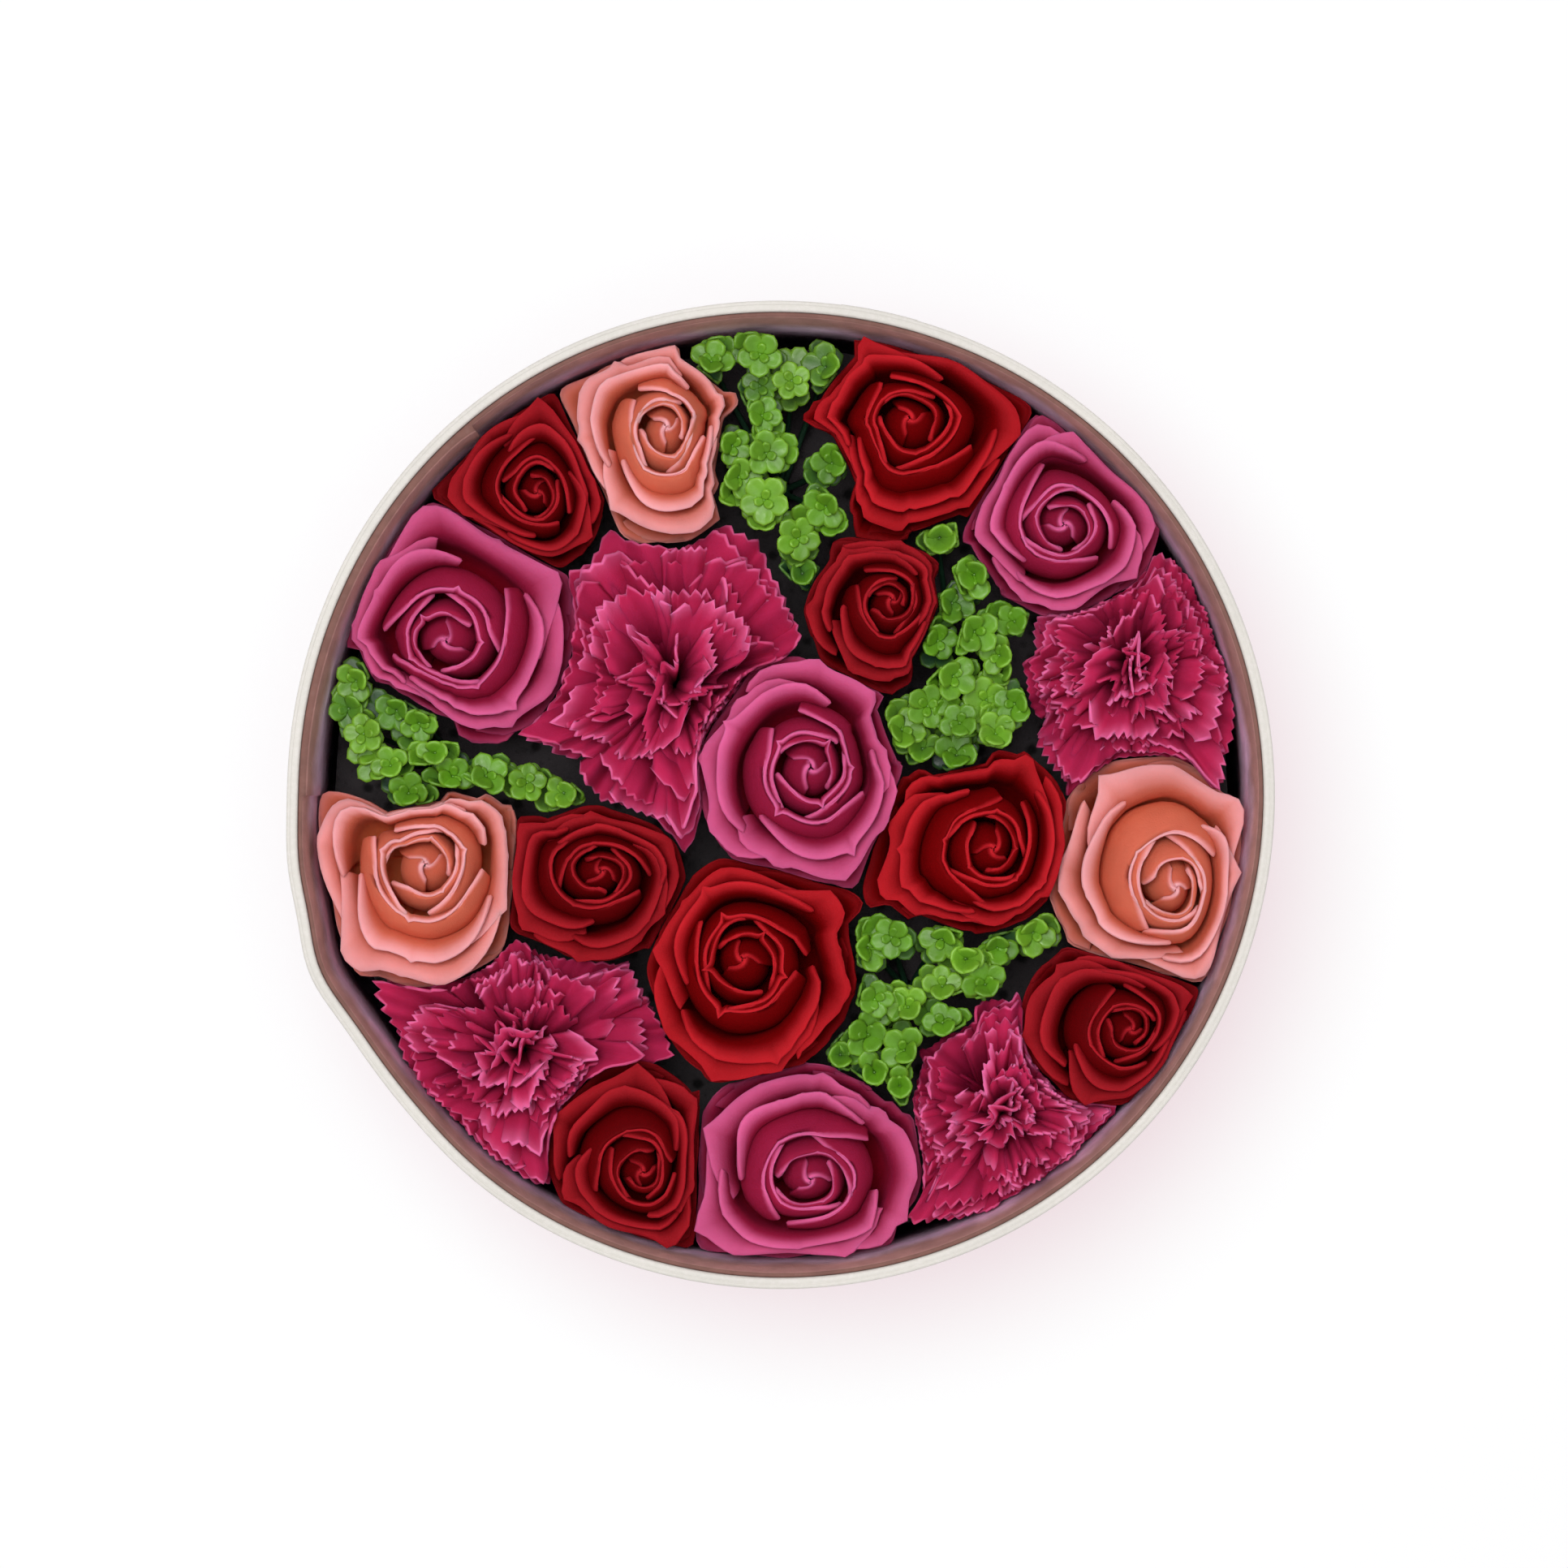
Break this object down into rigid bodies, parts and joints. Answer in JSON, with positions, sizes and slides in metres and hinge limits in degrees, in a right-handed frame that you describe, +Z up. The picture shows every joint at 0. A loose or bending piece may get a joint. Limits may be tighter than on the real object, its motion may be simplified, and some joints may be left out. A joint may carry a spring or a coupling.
{
  "type": "flower hat box",
  "caption": "Round open hat box filled with layered roses, ruffled carnations and small leafy green sprays, standing on stems in floral foam.",
  "frame": {"origin": "centre of the underside of the box, on the surface it stands on", "axes": "+Z up out of the open top; -Y towards the lower edge of the picture, +X to its right"},
  "size_m": [0.2319, 0.2318, 0.1046],
  "materials": {
    "wrapped_board": "smooth cream wrap paper over board, matt with a faint sheen",
    "liner_paper": "kraft board strip, brown at the rim and lilac lower down, matt",
    "floral_foam": "dark green crumbly foam",
    "salmon_petal": "velvety soap foam petal, salmon pink",
    "mauve_petal": "velvety soap foam petal, mauve pink",
    "red_petal": "velvety soap foam petal, clear red",
    "dark_red_petal": "velvety soap foam petal, deep red",
    "magenta_petal": "velvety soap foam petal with pinked edge, magenta pink",
    "moulded_stem": "moulded green plastic",
    "leaf_plastic": "glossy yellow-green leaf plastic, darker low down"
  },
  "bodies": {
    "root": {"box_wall": "wrapped_board", "box_base": "wrapped_board", "inner_liner": "liner_paper", "floral_foam": "floral_foam", "rose_salmon_1": "salmon_petal", "stem_rose_salmon_1": "moulded_stem", "rose_salmon_2": "salmon_petal", "stem_rose_salmon_2": "moulded_stem", "rose_salmon_3": "salmon_petal", "stem_rose_salmon_3": "moulded_stem", "rose_mauve_1": "mauve_petal", "stem_rose_mauve_1": "moulded_stem", "rose_mauve_2": "mauve_petal", "stem_rose_mauve_2": "moulded_stem", "rose_mauve_3": "mauve_petal", "stem_rose_mauve_3": "moulded_stem", "rose_mauve_4": "mauve_petal", "stem_rose_mauve_4": "moulded_stem", "rose_red_1": "red_petal", "stem_rose_red_1": "moulded_stem", "rose_red_2": "red_petal", "stem_rose_red_2": "moulded_stem", "rose_red_3": "red_petal", "stem_rose_red_3": "moulded_stem", "rose_small_1": "dark_red_petal", "stem_rose_small_1": "moulded_stem", "rose_small_2": "dark_red_petal", "stem_rose_small_2": "moulded_stem", "rose_small_3": "dark_red_petal", "stem_rose_small_3": "moulded_stem", "rose_small_4": "dark_red_petal", "stem_rose_small_4": "moulded_stem", "rose_small_5": "dark_red_petal", "stem_rose_small_5": "moulded_stem", "carnation_1": "magenta_petal", "stem_carnation_1": "moulded_stem", "carnation_2": "magenta_petal", "stem_carnation_2": "moulded_stem", "carnation_3": "magenta_petal", "stem_carnation_3": "moulded_stem", "carnation_4": "magenta_petal", "stem_carnation_4": "moulded_stem", "green_spray_1": "leaf_plastic", "green_spray_2": "leaf_plastic", "green_spray_3": "leaf_plastic", "green_spray_4": "leaf_plastic"}
  },
  "joints": []
}
